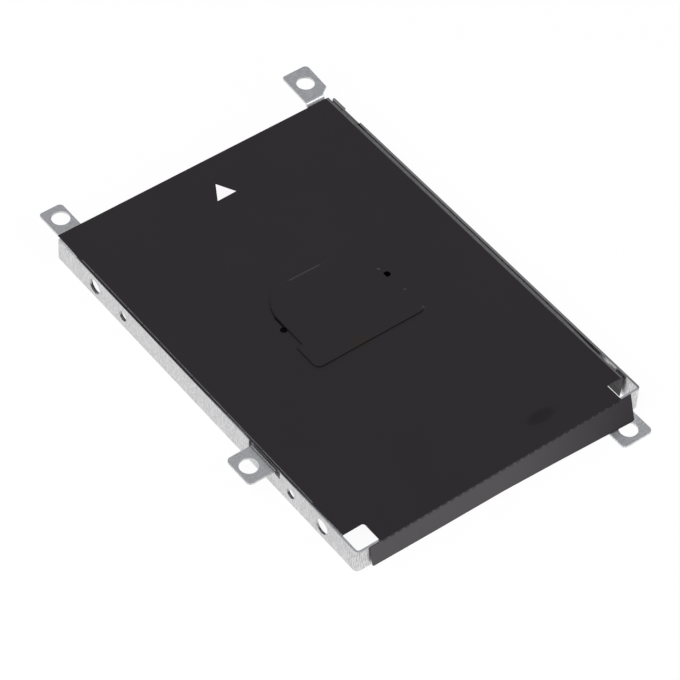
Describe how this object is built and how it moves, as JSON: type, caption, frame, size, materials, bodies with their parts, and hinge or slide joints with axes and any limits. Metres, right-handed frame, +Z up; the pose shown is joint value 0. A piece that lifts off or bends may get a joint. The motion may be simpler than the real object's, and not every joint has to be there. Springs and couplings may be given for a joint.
{
  "type": "notebook drive mounting caddy",
  "caption": "Low folded-steel caddy that screws to the sides of a notebook drive, with ears for chassis screws and a black insulating film with a pull tab over its top.",
  "frame": {"origin": "midway between the side walls and midway between the drive's side screws, on the bottom plane", "axes": "+X to the right wall, +Y to the drive's connector end, +Z up, from the bottom edges to the film"},
  "size_m": [0.0781, 0.118, 0.0069],
  "materials": {
    "galvanised_steel": "bright galvanised, fine grain, sheared edges",
    "black_film": "satin black polyester film",
    "adhesive": "clear pressure-sensitive adhesive"
  },
  "bodies": {
    "root": {"caddy_frame": "galvanised_steel", "insulating_film": "black_film", "pull_tab": "black_film", "tab_adhesive": "adhesive", "left_flap_adhesive": "adhesive", "right_flap_adhesive": "adhesive", "left_flange_adhesive": "adhesive", "right_flange_adhesive": "adhesive"}
  },
  "joints": []
}
